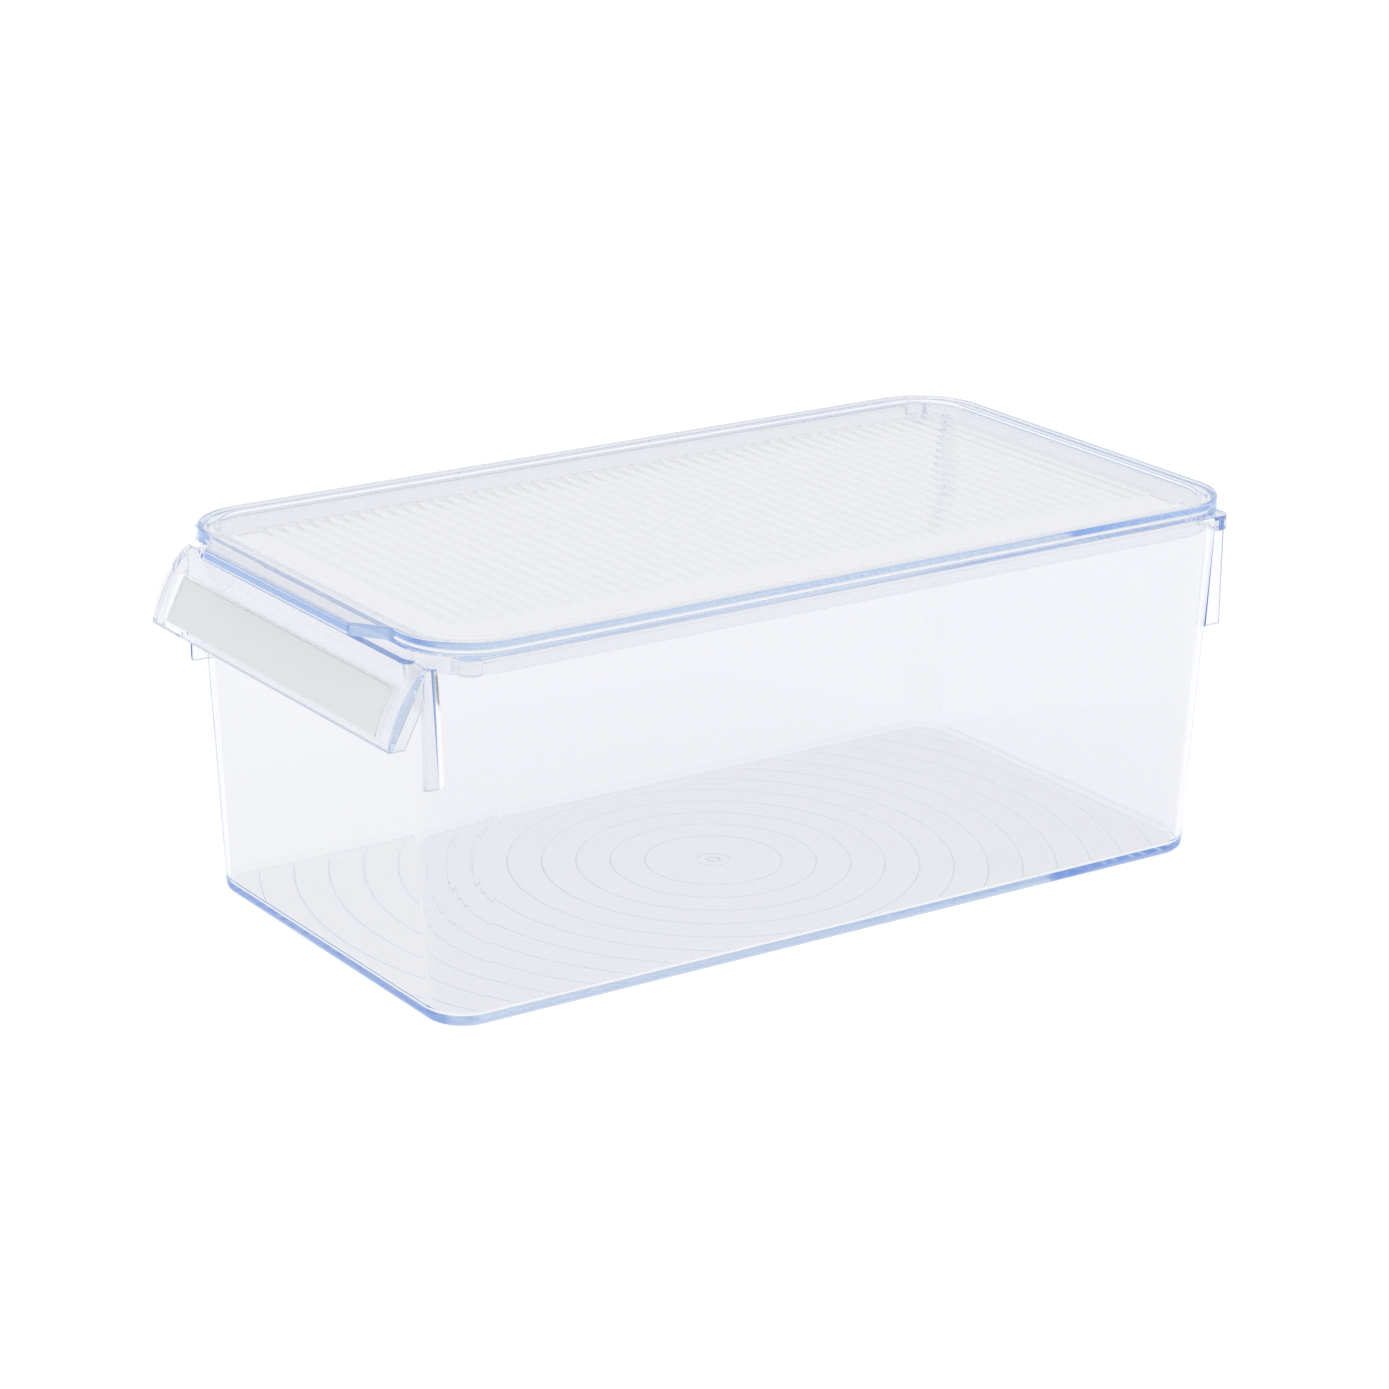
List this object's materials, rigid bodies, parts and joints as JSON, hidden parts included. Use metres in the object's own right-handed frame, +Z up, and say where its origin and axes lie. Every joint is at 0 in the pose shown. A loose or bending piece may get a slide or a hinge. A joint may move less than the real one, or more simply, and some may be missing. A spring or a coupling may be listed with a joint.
{
  "type": "lidded fridge bin",
  "caption": "Long, narrow clear plastic fridge bin with drafted walls, a ribbed lift-off lid, a curved pull handle and a label strip.",
  "frame": {"origin": "centre of the tub's flat underside", "axes": "+X along the width, +Y along the length towards the back, away from the handle, +Z up"},
  "size_m": [0.1684, 0.3125, 0.1218],
  "materials": {
    "clear_plastic": "clear moulded plastic, smooth and glossy, faint blue at the edges",
    "label": "pale grey label strip, plain, satin"
  },
  "bodies": {
    "tub_body": {"tub": "clear_plastic", "handle": "clear_plastic", "label_strip": "label"},
    "lid_body": {"lid": "clear_plastic"}
  },
  "joints": [
    {"name": "lid_lift", "type": "slide", "parent": "tub_body", "child": "lid_body", "axis": [0, 0, 1], "range_m": [0, 0.15]}
  ]
}
